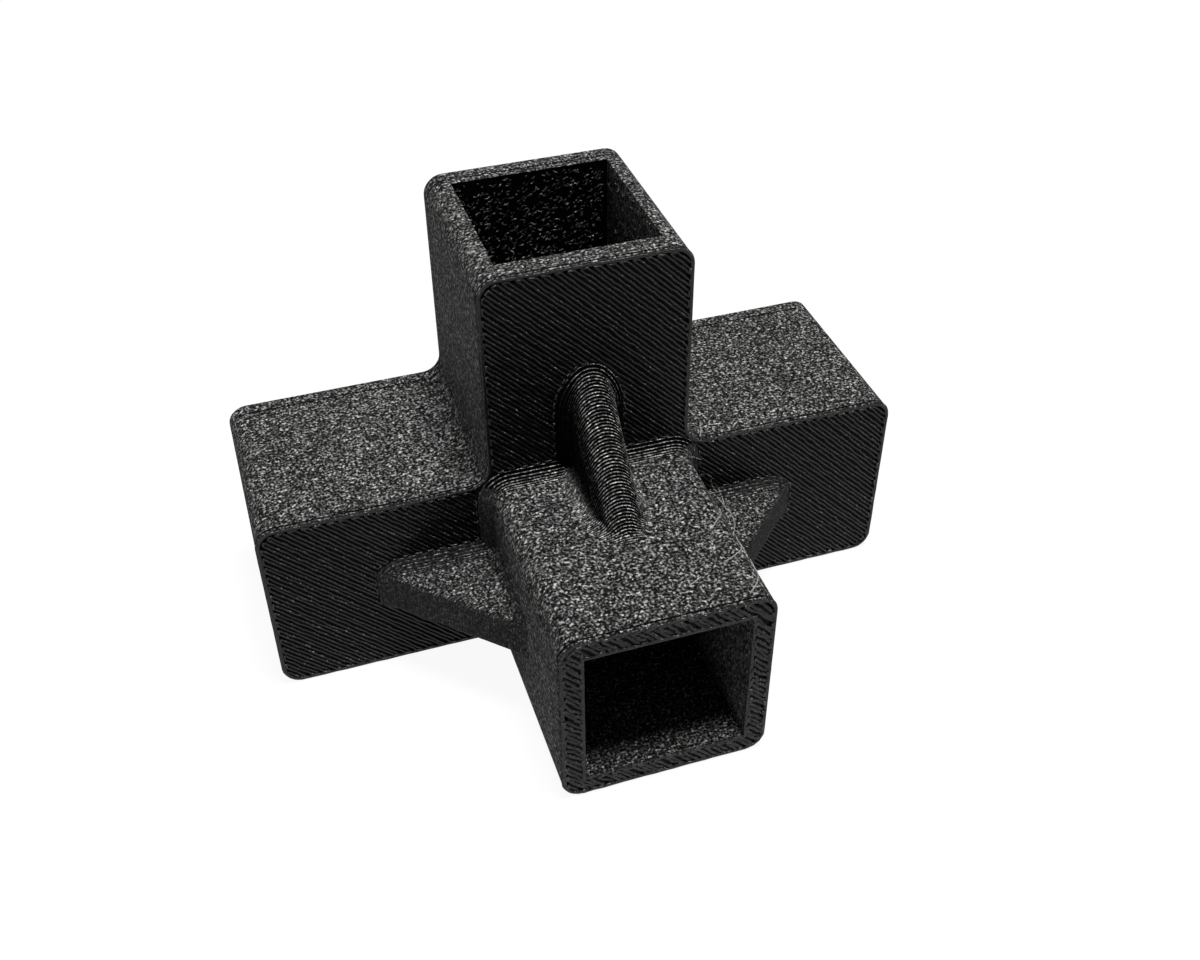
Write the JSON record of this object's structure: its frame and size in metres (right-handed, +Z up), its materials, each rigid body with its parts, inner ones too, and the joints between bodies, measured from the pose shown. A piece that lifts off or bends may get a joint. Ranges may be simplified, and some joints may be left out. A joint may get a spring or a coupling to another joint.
{
  "type": "square tube four-way connector",
  "caption": "Black printed connector block that joins square tubes: open square sockets to the left, right, front and top of a solid hub, with triangular gussets bracing the front arm.",
  "frame": {"origin": "on the bottom face, straight below the point where the axes of the sockets cross", "axes": "+X along the right socket, -Y along the front socket, +Z up along the top socket; +Y is the plain back"},
  "size_m": [0.085, 0.0557, 0.0557],
  "materials": {
    "black_print": "matt black, fibre-filled, with fine layer lines and small bright specks"
  },
  "bodies": {
    "root": {"connector_body": "black_print"}
  },
  "joints": []
}
